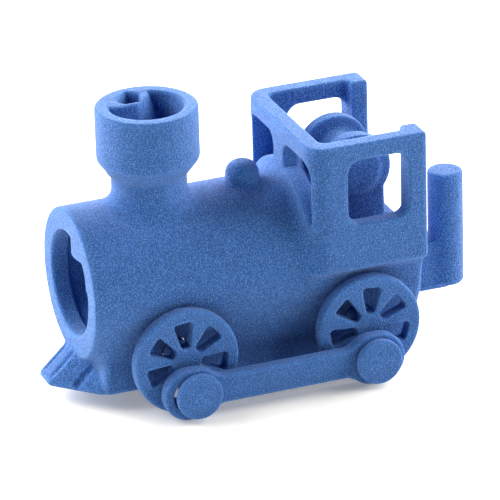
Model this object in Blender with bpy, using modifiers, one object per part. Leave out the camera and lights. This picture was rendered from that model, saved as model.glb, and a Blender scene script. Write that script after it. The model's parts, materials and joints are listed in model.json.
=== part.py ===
"""Toy train locomotive: a printed push-along engine with working wheels and coupling rods.

Frame: the engine faces -Y, its left side is +X, up is +Z. The origin is on the floor, under
the middle of the engine. Every length below is in millimetres and is scaled by MM where it
is used.
"""
import math

import bmesh
import bpy
from mathutils import Matrix, Vector

MM = 0.001
GAP = 0.3                     # room left between two neighbouring solids
CUT_MARGIN = 1.0              # how far a cutter runs past the faces that it cuts

# Boiler, smokebox and what stands on them
BOILER_RADIUS = 11.0
BOILER_AXIS_Z = 17.0
BOILER_BORE_RADIUS = 8.4
BOILER_FRONT_Y = -27.8
SMOKEBOX_RING_DEPTH = 2.7
SMOKEBOX_OPENING_RADIUS = 7.6
BRACKET_THICKNESS = 1.9
CHIMNEY_Y = -15.2
CHIMNEY_TOP_Z = 42.1
CHIMNEY_RIM_RADIUS = 7.35
CHIMNEY_RIM_BOTTOM_Z = 34.4
CHIMNEY_NECK_RADIUS = 5.4
CHIMNEY_NECK_TOP_Z = 31.8
CHIMNEY_BORE_RADIUS = 5.3
CHIMNEY_BORE_BOTTOM_Z = 33.2
CHIMNEY_FLUE_RADIUS = 3.0
PIPE_OFFSET_X = -2.6
PIPE_OFFSET_Y = -0.7
PIPE_TOP_Z = 41.9
PIPE_BOTTOM_Z = 33.8
PIPE_RADIUS = 2.1
PIPE_BORE_RADIUS = 1.2
DOME_Y = -1.15
DOME_RADIUS = 2.45
DOME_TOP_Z = 31.15

# Cab
CAB_FRONT_Y = 4.4
CAB_REAR_Y = 22.1
CAB_HALF_WIDTH = 12.75
CAB_WALL = 2.6
CAB_CORNER_RADIUS = 3.0
CAB_BOTTOM_Z = 16.8
CAB_TOP_Z = 36.1
DOORWAY_HALF_WIDTH = 8.6
SIDE_WINDOW_FRONT_Y = 10.05
SIDE_WINDOW_REAR_Y = 19.35
SIDE_WINDOW_SILL_Z = 23.7
WINDOW_TOP_Z = 33.5
WINDOW_CORNER_RADIUS = 2.0
FRONT_WINDOW_INNER_X = 1.95
FRONT_WINDOW_OUTER_X = 11.0
FRONT_WINDOW_SILL_RADIUS = 12.9
CAB_FLOOR_TOP_Z = 18.6
SPOOL_Y = 14.5
SPOOL_Z = 28.6
SPOOL_FLANGE_RADIUS = 5.3
SPOOL_HUB_RADIUS = 3.4
SPOOL_HALF_LENGTH = 4.9
SPOOL_FLANGE_THICKNESS = 2.0
PEDESTAL_HALF_DEPTH = 4.3

# Chassis
CHASSIS_HALF_WIDTH = 8.8
CHASSIS_WALL = 2.4
CHASSIS_BOTTOM_Z = 2.6
CHASSIS_TOP_Z = 11.0
CHASSIS_FRONT_Y = -26.0
CHASSIS_REAR_Y = CAB_REAR_Y
CHASSIS_CAVITY_TOP_Z = 9.6
CHASSIS_END_BLOCK = 4.0

# Cowcatcher: height, half width, tip Y, side Y, and the grooves' places across each half
PLOW_LEVELS = (
    (2.2, 8.8, -31.9, -27.3, (0.20, 0.55)),
    (4.5, 8.8, -32.9, -27.6, (0.20, 0.55)),
    (8.8, 6.6, -29.6, -28.8, (0.42, 0.80)),
)
PLOW_GROOVE_WIDTH = 0.7
PLOW_GROOVE_DEPTH = 0.5

# Rear coupling
POST_Y = 30.3
POST_RADIUS = 2.6
POST_BOTTOM_Z = 6.4
POST_TOP_Z = 24.0
POST_EDGE = 0.3
ARM_HALF_WIDTH = 1.6
ARM_BOTTOM_Z = 5.8
ARM_TOP_Z = 13.6

# Wheels, crank pins and coupling rods
WHEEL_RADIUS = 7.8
WHEEL_THICKNESS = 2.0
WHEEL_FACE_X = 13.3
WHEEL_CUTOUTS = 7
CUTOUT_INNER_RADIUS = 2.15
CUTOUT_OUTER_RADIUS = 6.0
CUTOUT_INNER_HALF_WIDTH = 0.68
CUTOUT_OUTER_HALF_WIDTH = 1.4
CUTOUT_CORNER_RADIUS = 0.45
FRONT_WHEEL_Y = -15.2
REAR_WHEEL_Y = 12.7
AXLE_RADIUS = 1.75
AXLE_BORE_RADIUS = 2.35
CRANK_RADIUS = 3.7
FRONT_CRANK_ANGLE = math.radians(-86.0)
REAR_CRANK_ANGLE = math.radians(-94.0)
PIN_RADIUS = 1.75
PIN_HEAD_RADIUS = 3.4
PIN_HEAD_THICKNESS = 1.15
PIN_HEAD_FACE_X = 17.65
ROD_INNER_X = 13.9
ROD_THICKNESS = 2.1
ROD_BOSS_RADIUS = 3.75
ROD_BOSS_STRETCH = 0.6        # half the straight run in the middle of each end boss
ROD_HALF_HEIGHT = 2.1
ROD_SLOT_RADIUS = 2.55
ROD_SLOT_STRETCH = 0.4        # half the straight run in the middle of each pin slot
ROD_LAG_Y = -0.4              # the rods sit a little ahead of their pins, inside the slots
ROD_DROP_Z = 0.25             # and hang a little below them

BODY_SEGMENTS = 72
WHEEL_SEGMENTS = 64
SPOOL_SEGMENTS = 48
PIN_SEGMENTS = 32

BLUE = (0.043, 0.135, 0.44, 1.0)
DEEP_BLUE = (0.038, 0.12, 0.40, 1.0)
WHEEL_BLUE = (0.05, 0.15, 0.47, 1.0)
NYLON_ROUGHNESS = 0.85


def start_empty():
    """Remove every object and open the two collections."""
    for old in list(bpy.data.objects):
        bpy.data.objects.remove(old, do_unlink=True)
    parts = bpy.data.collections.new("toy_locomotive")
    cutters = bpy.data.collections.new("cutters")
    for collection in (parts, cutters):
        bpy.context.scene.collection.children.link(collection)
    return parts, cutters


def nylon(name, colour):
    """Dyed sintered nylon in one shade of blue."""
    material = bpy.data.materials.new(name)
    material.use_nodes = True
    shader = material.node_tree.nodes["Principled BSDF"]
    shader.inputs["Base Color"].default_value = colour
    shader.inputs["Roughness"].default_value = NYLON_ROUGHNESS
    shader.inputs["Metallic"].default_value = 0.0
    return material


PARTS, CUTTERS = start_empty()
BODY_MATERIAL = nylon("body_nylon", BLUE)
INNER_MATERIAL = nylon("inner_nylon", DEEP_BLUE)
RUNNING_GEAR_MATERIAL = nylon("running_gear_nylon", WHEEL_BLUE)

# Ways to lie an outline or a turned shape down: the outline's own X, Y and Z become the
# three world axes named here.
SIDE_VIEW = Matrix(((0, 0, 1), (1, 0, 0), (0, 1, 0))).to_4x4()       # Y, Z, thickness along X
FRONT_VIEW = Matrix(((1, 0, 0), (0, 0, -1), (0, 1, 0))).to_4x4()     # X, Z, thickness along -Y
PLAN_VIEW = Matrix.Identity(4)                                       # X, Y, thickness along Z


def place(obj, centre, view=PLAN_VIEW):
    """Set an object's origin, in millimetres, and the way it faces."""
    obj.matrix_world = Matrix.Translation(Vector(centre) * MM) @ view
    return obj


def keep(obj, material):
    """File an object as a part with its material."""
    PARTS.objects.link(obj)
    obj.data.materials.clear()
    obj.data.materials.append(material)
    return obj


def as_cutter(obj):
    """File an object as a cutter, which isn't part of the engine."""
    CUTTERS.objects.link(obj)
    obj.hide_render = True
    obj.display_type = "WIRE"
    return obj


def cut(obj, cutter):
    """Take a cutter away from a part."""
    boolean = obj.modifiers.new("cut_" + cutter.name, "BOOLEAN")
    boolean.operation = "DIFFERENCE"
    boolean.solver = "EXACT"
    boolean.object = cutter
    return obj


def shade(mesh):
    """Smooth shading with crisp corners."""
    mesh.shade_smooth()
    mesh.set_sharp_from_angle(angle=math.radians(35))


def arc(centre, radius, start, end, steps):
    """Points along a circular arc, both ends included; angles in radians."""
    points = []
    for index in range(steps + 1):
        angle = start + (end - start) * index / steps
        points.append((centre[0] + radius * math.cos(angle), centre[1] + radius * math.sin(angle)))
    return points


def circle(centre, radius, segments):
    """Points round a full circle."""
    return arc(centre, radius, 0.0, math.tau * (segments - 1) / segments, segments - 1)


def rounded(corners, radius, steps=4):
    """A polygon with its corners rounded; corners run anticlockwise, radius fits every corner."""
    points = []
    for index, corner in enumerate(corners):
        here = Vector(corner)
        back = (Vector(corners[index - 1]) - here).normalized()
        ahead = (Vector(corners[(index + 1) % len(corners)]) - here).normalized()
        half_angle = back.angle(ahead) / 2
        middle = here + (back + ahead).normalized() * radius / math.sin(half_angle)
        first = here + back * radius / math.tan(half_angle) - middle
        last = here + ahead * radius / math.tan(half_angle) - middle
        start = math.atan2(first.y, first.x)
        sweep = (math.atan2(last.y, last.x) - start + math.pi) % math.tau - math.pi
        points += arc(middle, radius, start, start + sweep, steps)
    return points


def extruded(name, outlines, thickness):
    """A flat outline, with holes where outlines lie inside it, made solid as a mesh object."""
    curve = bpy.data.curves.new(name + "_outline", "CURVE")
    curve.dimensions = "2D"
    curve.fill_mode = "BOTH"
    curve.extrude = thickness / 2 * MM
    for outline in outlines:
        spline = curve.splines.new("POLY")
        spline.points.add(len(outline) - 1)
        for point, (x, y) in zip(spline.points, outline):
            point.co = (x * MM, y * MM, 0.0, 1.0)
        spline.use_cyclic_u = True
    guide = bpy.data.objects.new(name + "_outline", curve)
    bpy.context.scene.collection.objects.link(guide)
    evaluated = guide.evaluated_get(bpy.context.evaluated_depsgraph_get())
    mesh = bpy.data.meshes.new_from_object(evaluated)
    bpy.data.objects.remove(guide, do_unlink=True)
    solid = bmesh.new()
    solid.from_mesh(mesh)
    bmesh.ops.remove_doubles(solid, verts=solid.verts, dist=0.00001)
    bmesh.ops.recalc_face_normals(solid, faces=solid.faces)
    solid.to_mesh(mesh)
    solid.free()
    shade(mesh)
    mesh.name = name
    return bpy.data.objects.new(name, mesh)


def turned(name, profile, segments, closed=False):
    """A profile of (radius, height) points turned about Z; it runs down the outer side."""
    mesh = bpy.data.meshes.new(name)
    edges = [(index, index + 1) for index in range(len(profile) - 1)]
    if closed:
        edges.append((len(profile) - 1, 0))
    mesh.from_pydata([(radius * MM, 0.0, height * MM) for radius, height in profile], edges, [])
    obj = bpy.data.objects.new(name, mesh)
    screw = obj.modifiers.new("turn", "SCREW")
    screw.axis = "Z"
    screw.steps = segments
    screw.render_steps = segments
    screw.use_merge_vertices = True
    screw.merge_threshold = 0.00001
    screw.use_smooth_shade = True
    return obj


def block(name, low, high):
    """A box between two corners in millimetres."""
    mesh = bpy.data.meshes.new(name)
    size = Vector(high) - Vector(low)
    shape = bmesh.new()
    bmesh.ops.create_cube(shape, size=1.0, matrix=Matrix.Diagonal((*(size * MM), 1.0)))
    shape.to_mesh(mesh)
    shape.free()
    return place(bpy.data.objects.new(name, mesh), (Vector(low) + Vector(high)) / 2)


def drum(name, radius, length, segments, centre, view):
    """A plain cylinder whose axis is the view's third direction."""
    mesh = bpy.data.meshes.new(name)
    shape = bmesh.new()
    bmesh.ops.create_cone(shape, cap_ends=True, segments=segments, radius1=radius * MM,
                          radius2=radius * MM, depth=length * MM)
    shape.to_mesh(mesh)
    shape.free()
    shade(mesh)
    return place(bpy.data.objects.new(name, mesh), centre, view)


def boiler_envelope(name, front_y, rear_y):
    """A cutter one gap larger than the boiler, between two places along it."""
    centre = (0.0, (front_y + rear_y) / 2, BOILER_AXIS_Z)
    radius = BOILER_RADIUS + GAP
    return as_cutter(drum(name, radius, rear_y - front_y, BODY_SEGMENTS, centre, FRONT_VIEW))


# ---- smokebox and boiler -------------------------------------------------------------------

def make_smokebox_front():
    rear_y = BOILER_FRONT_Y + SMOKEBOX_RING_DEPTH
    outlines = [circle((0, 0), BOILER_RADIUS, BODY_SEGMENTS),
                circle((0, 0), SMOKEBOX_OPENING_RADIUS, BODY_SEGMENTS)]
    ring = extruded("smokebox_front", outlines, SMOKEBOX_RING_DEPTH)
    place(ring, (0, (BOILER_FRONT_Y + rear_y) / 2, BOILER_AXIS_Z), FRONT_VIEW)
    return keep(ring, BODY_MATERIAL)


def make_smokebox_bracket():
    """The stepped plate across the upper left of the smokebox opening."""
    reach = SMOKEBOX_OPENING_RADIUS - GAP
    top_arc = arc((0, 0), reach, math.radians(4), math.radians(89), 16)
    steps = [(0.12, 4.4), (0.95, 4.2), (3.5, 4.55), (5.2, 5.0), (5.6, 3.3), (5.9, 0.7)]
    plate = extruded("smokebox_bracket", [top_arc + steps], BRACKET_THICKNESS)
    centre_y = BOILER_FRONT_Y + SMOKEBOX_RING_DEPTH / 2
    place(plate, (0, centre_y, BOILER_AXIS_Z), FRONT_VIEW)
    return keep(plate, INNER_MATERIAL)


def make_boiler_shell():
    """The arch of the boiler tube, from the ring to the cab, above the chassis."""
    foot = CHASSIS_TOP_Z + GAP - BOILER_AXIS_Z
    outer = math.asin(foot / BOILER_RADIUS)
    inner = math.asin(foot / BOILER_BORE_RADIUS)
    outline = arc((0, 0), BOILER_RADIUS, outer, math.pi - outer, 48)
    outline += arc((0, 0), BOILER_BORE_RADIUS, math.pi - inner, inner, 48)
    front_y = BOILER_FRONT_Y + SMOKEBOX_RING_DEPTH + GAP
    rear_y = CAB_FRONT_Y - GAP
    shell = extruded("boiler_shell", [outline], rear_y - front_y)
    place(shell, (0, (front_y + rear_y) / 2, BOILER_AXIS_Z), FRONT_VIEW)
    flue_centre = (0, CHIMNEY_Y, BOILER_AXIS_Z + BOILER_RADIUS)
    flue_length = 2 * (BOILER_RADIUS - BOILER_BORE_RADIUS + CUT_MARGIN)
    flue = drum("flue_cutter", CHIMNEY_FLUE_RADIUS, flue_length, PIN_SEGMENTS, flue_centre,
                PLAN_VIEW)
    cut(shell, as_cutter(flue))
    return keep(shell, BODY_MATERIAL)


def make_chimney(envelope):
    """Neck, flared collar and deep rim, bored through to the boiler."""
    lip = 0.35
    taper = 2.0
    sunk = 3.0
    foot_z = BOILER_AXIS_Z + BOILER_RADIUS - sunk
    profile = [
        (CHIMNEY_BORE_RADIUS, CHIMNEY_TOP_Z),
        (CHIMNEY_RIM_RADIUS - lip, CHIMNEY_TOP_Z),
        (CHIMNEY_RIM_RADIUS, CHIMNEY_TOP_Z - lip),
        (CHIMNEY_RIM_RADIUS, CHIMNEY_RIM_BOTTOM_Z),
        (CHIMNEY_NECK_RADIUS, CHIMNEY_NECK_TOP_Z),
        (CHIMNEY_NECK_RADIUS, foot_z),
        (CHIMNEY_FLUE_RADIUS, foot_z),
        (CHIMNEY_FLUE_RADIUS, CHIMNEY_BORE_BOTTOM_Z - taper),
        (CHIMNEY_BORE_RADIUS, CHIMNEY_BORE_BOTTOM_Z),
    ]
    chimney = turned("chimney", profile, BODY_SEGMENTS, closed=True)
    place(chimney, (0, CHIMNEY_Y, 0))
    cut(chimney, envelope)
    return keep(chimney, BODY_MATERIAL)


def make_chimney_pipe():
    """The small exhaust pipe that stands inside the chimney's rim."""
    flare = 0.12
    profile = [
        (PIPE_BORE_RADIUS, PIPE_TOP_Z),
        (PIPE_RADIUS, PIPE_TOP_Z),
        (PIPE_RADIUS + flare, PIPE_BOTTOM_Z),
        (PIPE_BORE_RADIUS, PIPE_BOTTOM_Z),
    ]
    pipe = turned("chimney_pipe", profile, PIN_SEGMENTS, closed=True)
    place(pipe, (PIPE_OFFSET_X, CHIMNEY_Y + PIPE_OFFSET_Y, 0))
    return keep(pipe, INNER_MATERIAL)


def make_steam_dome(envelope):
    round_edge = 2.0
    sunk = 1.5
    foot_z = BOILER_AXIS_Z + BOILER_RADIUS - sunk
    flat = DOME_RADIUS - round_edge
    shoulder = arc((flat, DOME_TOP_Z - round_edge), round_edge, math.pi / 2, 0.0, 6)
    profile = [(0.0, DOME_TOP_Z)] + shoulder + [(DOME_RADIUS, foot_z), (0.0, foot_z)]
    dome = turned("steam_dome", profile, PIN_SEGMENTS)
    place(dome, (0, DOME_Y, 0))
    cut(dome, envelope)
    return keep(dome, BODY_MATERIAL)


# ---- cab -----------------------------------------------------------------------------------

def window_sill_angle(x):
    """Where the arched sill of a front window passes over x, as an angle about the boiler."""
    return math.acos(x / FRONT_WINDOW_SILL_RADIUS)


def make_front_window_cutter(side):
    """One front window: rounded above, its sill an arch about the boiler."""
    sill = arc((0, 0), FRONT_WINDOW_SILL_RADIUS, window_sill_angle(FRONT_WINDOW_INNER_X),
               window_sill_angle(FRONT_WINDOW_OUTER_X), 12)
    top = WINDOW_TOP_Z - BOILER_AXIS_Z
    radius = WINDOW_CORNER_RADIUS
    outline = sill + arc((FRONT_WINDOW_OUTER_X - radius, top - radius), radius, 0, math.pi / 2, 6)
    outline += arc((FRONT_WINDOW_INNER_X + radius, top - radius), radius, math.pi / 2, math.pi, 6)
    outline = [(side * x, z) for x, z in outline]
    name = "front_window_cutter_left" if side > 0 else "front_window_cutter_right"
    cutter = extruded(name, [outline], CAB_WALL + 2 * CUT_MARGIN)
    centre_y = CAB_FRONT_Y + CAB_WALL / 2
    return as_cutter(place(cutter, (0, centre_y, BOILER_AXIS_Z), FRONT_VIEW))


def make_cab_shell():
    """Four walls in one, open at the top, with a doorway in the back wall."""
    outer, rear = CAB_HALF_WIDTH, CAB_REAR_Y
    inner, inner_rear = CAB_HALF_WIDTH - CAB_WALL, CAB_REAR_Y - CAB_WALL
    inner_front = CAB_FRONT_Y + CAB_WALL
    radius = CAB_CORNER_RADIUS
    half = arc((outer - radius, CAB_FRONT_Y + radius), radius, -math.pi / 2, 0.0, 8)
    half += [(outer, rear), (DOORWAY_HALF_WIDTH, rear), (DOORWAY_HALF_WIDTH, inner_rear)]
    half += [(inner, inner_rear), (inner, inner_front)]
    mirrored = [(-x, y) for x, y in reversed(half)]
    shell = extruded("cab_shell", [half + mirrored], CAB_TOP_Z - CAB_BOTTOM_Z)
    place(shell, (0, 0, (CAB_TOP_Z + CAB_BOTTOM_Z) / 2))
    corners = [(SIDE_WINDOW_FRONT_Y, SIDE_WINDOW_SILL_Z), (SIDE_WINDOW_REAR_Y, SIDE_WINDOW_SILL_Z),
               (SIDE_WINDOW_REAR_Y, WINDOW_TOP_Z), (SIDE_WINDOW_FRONT_Y, WINDOW_TOP_Z)]
    side_windows = extruded("side_window_cutter", [rounded(corners, WINDOW_CORNER_RADIUS)],
                            2 * (outer + CUT_MARGIN))
    cut(shell, as_cutter(place(side_windows, (0, 0, 0), SIDE_VIEW)))
    for side in (1, -1):
        cut(shell, make_front_window_cutter(side))
    return keep(shell, BODY_MATERIAL)


def make_cab_floor():
    clear_x = CAB_HALF_WIDTH - CAB_WALL - GAP
    low = (-clear_x, CAB_FRONT_Y + CAB_WALL + GAP, CAB_BOTTOM_Z)
    high = (clear_x, CAB_REAR_Y - CAB_WALL - GAP, CAB_FLOOR_TOP_Z)
    return keep(block("cab_floor", low, high), INNER_MATERIAL)


def make_cab_spool():
    """The flanged spool that lies across the cab."""
    half, flange, hub = SPOOL_HALF_LENGTH, SPOOL_FLANGE_RADIUS, SPOOL_HUB_RADIUS
    inside = SPOOL_HALF_LENGTH - SPOOL_FLANGE_THICKNESS
    fillet = 0.8
    upper = [(0.0, half), (flange, half), (flange, inside), (hub + fillet, inside)]
    upper += arc((hub + fillet, inside - fillet), fillet, math.pi / 2, math.pi, 4)[1:]
    lower = [(radius, -height) for radius, height in reversed(upper)]
    spool = turned("cab_spool", upper + lower, SPOOL_SEGMENTS)
    place(spool, (0, SPOOL_Y, SPOOL_Z), SIDE_VIEW)
    return keep(spool, INNER_MATERIAL)


def make_cab_pedestal():
    """The block that carries the spool, hollowed to its round flanges."""
    low = (-SPOOL_HALF_LENGTH, SPOOL_Y - PEDESTAL_HALF_DEPTH, CAB_FLOOR_TOP_Z + GAP)
    high = (SPOOL_HALF_LENGTH, SPOOL_Y + PEDESTAL_HALF_DEPTH, SPOOL_Z)
    pedestal = block("cab_pedestal", low, high)
    saddle = drum("saddle_cutter", SPOOL_FLANGE_RADIUS + GAP,
                  2 * (SPOOL_HALF_LENGTH + CUT_MARGIN), SPOOL_SEGMENTS,
                  (0, SPOOL_Y, SPOOL_Z), SIDE_VIEW)
    cut(pedestal, as_cutter(saddle))
    return keep(pedestal, INNER_MATERIAL)


# ---- chassis -------------------------------------------------------------------------------

def make_firebox_base():
    """The round-sided body between the chassis and the cab."""
    foot = CHASSIS_TOP_Z + GAP - BOILER_AXIS_Z
    top = CAB_BOTTOM_Z - GAP - BOILER_AXIS_Z
    low_angle = math.asin(foot / BOILER_RADIUS)
    high_angle = math.asin(top / BOILER_RADIUS)
    outline = arc((0, 0), BOILER_RADIUS, low_angle, high_angle, 8)
    outline += arc((0, 0), BOILER_RADIUS, math.pi - high_angle, math.pi - low_angle, 8)
    base = extruded("firebox_base", [outline], CAB_REAR_Y - CAB_FRONT_Y)
    place(base, (0, (CAB_REAR_Y + CAB_FRONT_Y) / 2, BOILER_AXIS_Z), FRONT_VIEW)
    return keep(base, BODY_MATERIAL)


def make_chassis_frame():
    """A box girder, open below, with a bore through both sides for each axle."""
    frame = block("chassis_frame", (-CHASSIS_HALF_WIDTH, CHASSIS_FRONT_Y, CHASSIS_BOTTOM_Z),
                  (CHASSIS_HALF_WIDTH, CHASSIS_REAR_Y, CHASSIS_TOP_Z))
    inner_x = CHASSIS_HALF_WIDTH - CHASSIS_WALL
    cavity = block("cavity_cutter",
                   (-inner_x, CHASSIS_FRONT_Y + CHASSIS_END_BLOCK, CHASSIS_BOTTOM_Z - CUT_MARGIN),
                   (inner_x, CHASSIS_REAR_Y - CHASSIS_END_BLOCK, CHASSIS_CAVITY_TOP_Z))
    cut(frame, as_cutter(cavity))
    for name, wheel_y in (("front", FRONT_WHEEL_Y), ("rear", REAR_WHEEL_Y)):
        bore = drum(name + "_axle_bore_cutter", AXLE_BORE_RADIUS,
                    2 * (CHASSIS_HALF_WIDTH + CUT_MARGIN), PIN_SEGMENTS,
                    (0, wheel_y, WHEEL_RADIUS), SIDE_VIEW)
        cut(frame, as_cutter(bore))
    ring_rear = BOILER_FRONT_Y + SMOKEBOX_RING_DEPTH + GAP
    cut(frame, boiler_envelope("ring_envelope_cutter", BOILER_FRONT_Y - CUT_MARGIN, ring_rear))
    return keep(frame, BODY_MATERIAL)


def plow_outline(half_width, tip_y, side_y, grooves):
    """One level of the plow: a V in front, notched at each groove, and square behind."""
    slope = (side_y - tip_y) / half_width
    edge = PLOW_GROOVE_WIDTH / 2
    half = []
    for across in grooves:
        x = across * half_width
        y = tip_y + slope * x
        half += [(x - edge, y - slope * edge), (x, y + PLOW_GROOVE_DEPTH),
                 (x + edge, y + slope * edge)]
    half += [(half_width, side_y), (half_width, CHASSIS_FRONT_Y - GAP)]
    mirrored = [(-x, y) for x, y in reversed(half)]
    return [(0.0, tip_y)] + half + mirrored


def make_cowcatcher():
    """A V-shaped plow, grooved into slats, under the smokebox: a loft between its levels."""
    mesh = bpy.data.meshes.new("cowcatcher")
    loft = bmesh.new()
    rings = []
    for z, half_width, tip_y, side_y, grooves in PLOW_LEVELS:
        outline = plow_outline(half_width, tip_y, side_y, grooves)
        rings.append([loft.verts.new((x * MM, y * MM, z * MM)) for x, y in outline])
    for lower, upper in zip(rings, rings[1:]):
        for index in range(len(lower)):
            after = (index + 1) % len(lower)
            loft.faces.new((lower[index], lower[after], upper[after], upper[index]))
    loft.faces.new(rings[0])
    loft.faces.new(rings[-1])
    bmesh.ops.triangulate(loft, faces=loft.faces)
    bmesh.ops.recalc_face_normals(loft, faces=loft.faces)
    loft.to_mesh(mesh)
    loft.free()
    plow = bpy.data.objects.new("cowcatcher", mesh)
    cut(plow, boiler_envelope("plow_envelope_cutter", BOILER_FRONT_Y - GAP,
                              CHASSIS_FRONT_Y + CUT_MARGIN))
    return keep(plow, BODY_MATERIAL)


def make_rear_coupling():
    """The arm behind the chassis and the upright post that a wagon hooks on to."""
    arm = block("rear_coupling_arm", (-ARM_HALF_WIDTH, CHASSIS_REAR_Y + GAP, ARM_BOTTOM_Z),
                (ARM_HALF_WIDTH, POST_Y - POST_RADIUS - GAP, ARM_TOP_Z))
    keep(arm, BODY_MATERIAL)
    profile = [(0.0, POST_TOP_Z), (POST_RADIUS - POST_EDGE, POST_TOP_Z),
               (POST_RADIUS, POST_TOP_Z - POST_EDGE), (POST_RADIUS, POST_BOTTOM_Z + POST_EDGE),
               (POST_RADIUS - POST_EDGE, POST_BOTTOM_Z), (0.0, POST_BOTTOM_Z)]
    post = turned("rear_coupling_post", profile, PIN_SEGMENTS)
    place(post, (0, POST_Y, 0))
    return keep(post, BODY_MATERIAL)


# ---- running gear --------------------------------------------------------------------------

def wheel_cutout(angle):
    """One wedge-shaped window of a wheel, pointing along an angle."""
    corners = [(CUTOUT_INNER_RADIUS, CUTOUT_INNER_HALF_WIDTH),
               (CUTOUT_INNER_RADIUS, -CUTOUT_INNER_HALF_WIDTH),
               (CUTOUT_OUTER_RADIUS, -CUTOUT_OUTER_HALF_WIDTH),
               (CUTOUT_OUTER_RADIUS, CUTOUT_OUTER_HALF_WIDTH)]
    cosine, sine = math.cos(angle), math.sin(angle)
    return [(x * cosine - y * sine, x * sine + y * cosine)
            for x, y in rounded(corners, CUTOUT_CORNER_RADIUS, steps=3)]


def make_wheel(name, side, wheel_y, crank_angle):
    """A disc wheel with seven wedge windows; the crank pin sits on the spoke at crank_angle."""
    outlines = [circle((0, 0), WHEEL_RADIUS, WHEEL_SEGMENTS)]
    for index in range(WHEEL_CUTOUTS):
        outlines.append(wheel_cutout(crank_angle + math.tau * (index + 0.5) / WHEEL_CUTOUTS))
    wheel = extruded(name, outlines, WHEEL_THICKNESS)
    centre_x = side * (WHEEL_FACE_X - WHEEL_THICKNESS / 2)
    place(wheel, (centre_x, wheel_y, WHEEL_RADIUS), SIDE_VIEW)
    return keep(wheel, RUNNING_GEAR_MATERIAL)


def make_crank_pin(name, side, pin_y, pin_z):
    """A pin that stands on the wheel and holds the rod under its round head."""
    edge = 0.25
    shoulder = PIN_HEAD_FACE_X - PIN_HEAD_THICKNESS
    profile = [(0.0, PIN_HEAD_FACE_X), (PIN_HEAD_RADIUS - edge, PIN_HEAD_FACE_X),
               (PIN_HEAD_RADIUS, PIN_HEAD_FACE_X - edge), (PIN_HEAD_RADIUS, shoulder),
               (PIN_RADIUS, shoulder), (PIN_RADIUS, WHEEL_FACE_X + GAP),
               (0.0, WHEEL_FACE_X + GAP)]
    pin = turned(name, profile, PIN_SEGMENTS)
    facing = SIDE_VIEW if side > 0 else Matrix.Rotation(math.pi, 4, "Z") @ SIDE_VIEW
    place(pin, (0, pin_y, pin_z), facing)
    return keep(pin, RUNNING_GEAR_MATERIAL)


def make_axle(name, wheel_y):
    length = 2 * (WHEEL_FACE_X - WHEEL_THICKNESS - GAP)
    axle = drum(name, AXLE_RADIUS, length, PIN_SEGMENTS, (0, wheel_y, WHEEL_RADIUS), SIDE_VIEW)
    return keep(axle, RUNNING_GEAR_MATERIAL)


def crank_pin_centre(wheel_y, crank_angle):
    """Height and place along the engine of a crank pin at rest."""
    return (wheel_y + CRANK_RADIUS * math.cos(crank_angle),
            WHEEL_RADIUS + CRANK_RADIUS * math.sin(crank_angle))


def slot_outline(centre_y, radius, stretch):
    """A slot with round ends, drawn out along the rod."""
    ahead = arc((centre_y + stretch, 0), radius, -math.pi / 2, math.pi / 2, PIN_SEGMENTS // 2)
    behind = arc((centre_y - stretch, 0), radius, math.pi / 2, 3 * math.pi / 2, PIN_SEGMENTS // 2)
    return ahead + behind


def rod_outline(length):
    """A straight bar between two long round bosses, centred between them."""
    meet = math.asin(ROD_HALF_HEIGHT / ROD_BOSS_RADIUS)
    half, stretch, radius = length / 2, ROD_BOSS_STRETCH, ROD_BOSS_RADIUS
    quarter = math.pi / 2
    rear_end = arc((half - stretch, 0), radius, math.pi + meet, 3 * quarter, 6)
    rear_end += arc((half + stretch, 0), radius, -quarter, quarter, 20)
    rear_end += arc((half - stretch, 0), radius, quarter, math.pi - meet, 6)
    front_end = [(-y, -z) for y, z in rear_end]
    return rear_end + front_end


def make_rod(name, side, pin_y, pin_z):
    """A coupling rod; its origin is the front crank pin, where it turns."""
    length = REAR_WHEEL_Y - FRONT_WHEEL_Y
    shift = length / 2 + ROD_LAG_Y
    outlines = [rod_outline(length), slot_outline(-length / 2, ROD_SLOT_RADIUS, ROD_SLOT_STRETCH),
                slot_outline(length / 2, ROD_SLOT_RADIUS, ROD_SLOT_STRETCH)]
    outlines = [[(y + shift, z - ROD_DROP_Z) for y, z in outline] for outline in outlines]
    rod = extruded(name, outlines, ROD_THICKNESS)
    place(rod, (side * (ROD_INNER_X + ROD_THICKNESS / 2), pin_y, pin_z), SIDE_VIEW)
    return keep(rod, RUNNING_GEAR_MATERIAL)


def make_running_gear():
    """Two wheelsets, their crank pins, and a coupling rod on each side."""
    wheelsets = (("front", FRONT_WHEEL_Y, FRONT_CRANK_ANGLE), ("rear", REAR_WHEEL_Y, REAR_CRANK_ANGLE))
    sides = (("left", 1), ("right", -1))
    for end, wheel_y, crank_angle in wheelsets:
        make_axle(end + "_axle", wheel_y)
        pin_y, pin_z = crank_pin_centre(wheel_y, crank_angle)
        for side_name, side in sides:
            make_wheel(end + "_" + side_name + "_wheel", side, wheel_y, crank_angle)
            make_crank_pin(end + "_" + side_name + "_crank_pin", side, pin_y, pin_z)
    pin_y, pin_z = crank_pin_centre(FRONT_WHEEL_Y, FRONT_CRANK_ANGLE)
    for side_name, side in sides:
        make_rod(side_name + "_coupling_rod", side, pin_y, pin_z)


def build_locomotive():
    crown = boiler_envelope("crown_envelope_cutter", BOILER_FRONT_Y, CAB_FRONT_Y)
    make_smokebox_front()
    make_smokebox_bracket()
    make_boiler_shell()
    make_chimney(crown)
    make_chimney_pipe()
    make_steam_dome(crown)
    make_cab_shell()
    make_cab_floor()
    make_cab_spool()
    make_cab_pedestal()
    make_firebox_base()
    make_chassis_frame()
    make_cowcatcher()
    make_rear_coupling()
    make_running_gear()


build_locomotive()
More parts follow.
